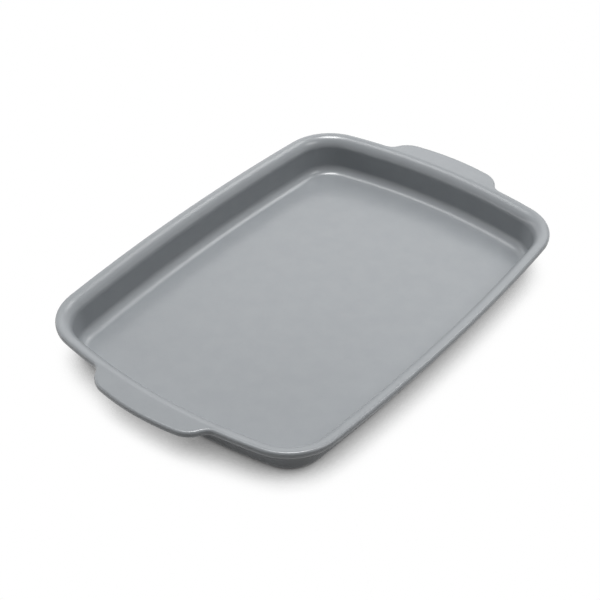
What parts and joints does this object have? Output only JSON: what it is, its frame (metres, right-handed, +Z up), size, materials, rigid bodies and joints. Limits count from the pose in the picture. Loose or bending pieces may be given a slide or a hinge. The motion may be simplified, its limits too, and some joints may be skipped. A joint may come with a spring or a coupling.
{
  "type": "jelly roll pan",
  "caption": "Shallow rectangular baking pan with rounded corners, bowed sides, a rolled edge and a flat grip tab at each end.",
  "frame": {"origin": "on the surface that the pan stands on, below the middle of the pan", "axes": "+X along the pan's length, +Y across it, +Z up out of the open top"},
  "size_m": [0.4342, 0.2864, 0.0353],
  "materials": {
    "steel": "bare rolled sheet, seen only at the cut edge inside the roll",
    "inside_coat": "satin grey ceramic non-stick coating",
    "outside_coat": "satin grey ceramic non-stick coating"
  },
  "bodies": {
    "root": {"steel_tray": "steel", "inside_coating": "inside_coat", "outside_coating": "outside_coat"}
  },
  "joints": []
}
